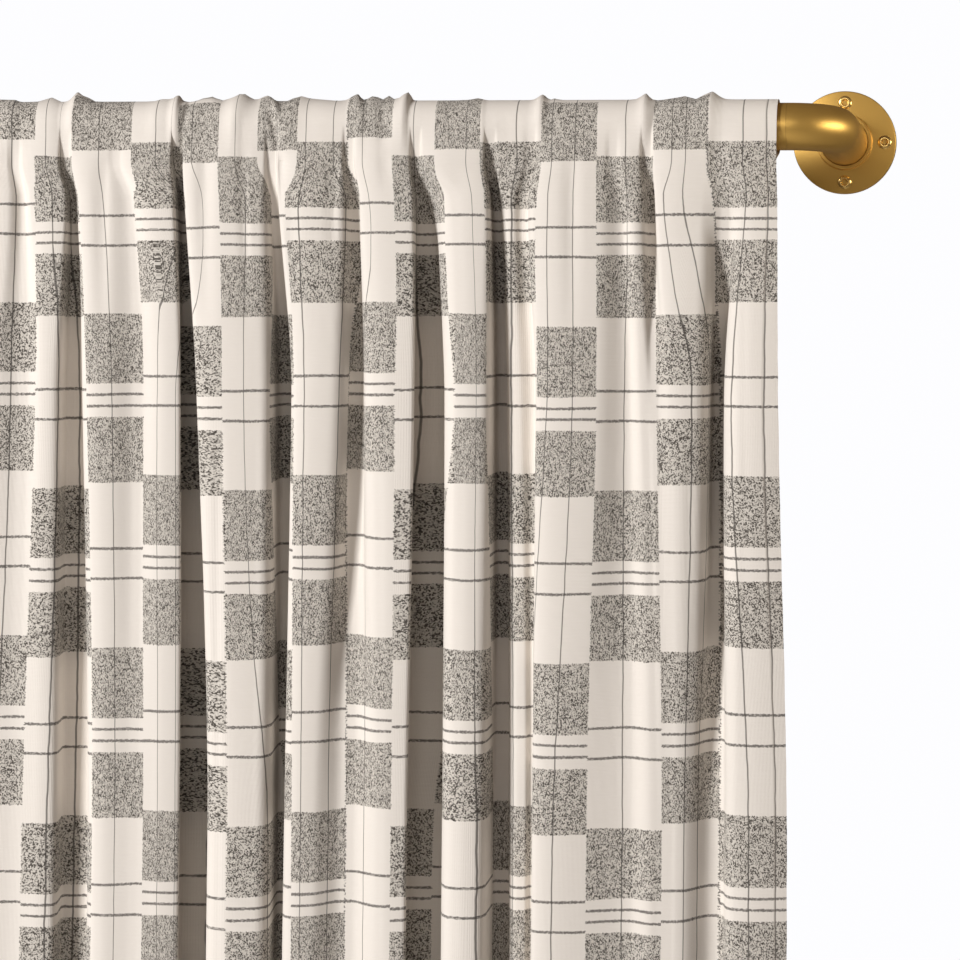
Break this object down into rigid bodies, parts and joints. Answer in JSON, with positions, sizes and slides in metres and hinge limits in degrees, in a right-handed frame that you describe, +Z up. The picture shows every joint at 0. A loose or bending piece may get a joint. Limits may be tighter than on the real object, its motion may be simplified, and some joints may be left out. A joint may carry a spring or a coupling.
{
  "type": "rod pocket curtain with wall-return curtain rod",
  "caption": "Checked curtain panel gathered by its rod pocket on a brass-coloured tube that turns back at both ends to round screwed wall plates.",
  "frame": {"origin": "centre of the right wall plate's flat back, against the wall", "axes": "+Z up, +Y into the wall, +X along the rod towards the right as seen from the room"},
  "size_m": [0.79, 0.1091, 2.1493],
  "materials": {
    "cloth": "matte woven check of grey on cream",
    "brass": "satin antique brass",
    "screw_brass": "polished antique brass"
  },
  "bodies": {
    "root": {"curtain_panel": "cloth", "rod_tube": "brass", "elbow_right": "brass", "wall_plate_right": "brass", "elbow_left": "brass", "wall_plate_left": "brass", "screw_right_1": "screw_brass", "screw_right_2": "screw_brass", "screw_right_3": "screw_brass", "screw_right_4": "screw_brass", "screw_left_1": "screw_brass", "screw_left_2": "screw_brass", "screw_left_3": "screw_brass", "screw_left_4": "screw_brass"}
  },
  "joints": []
}
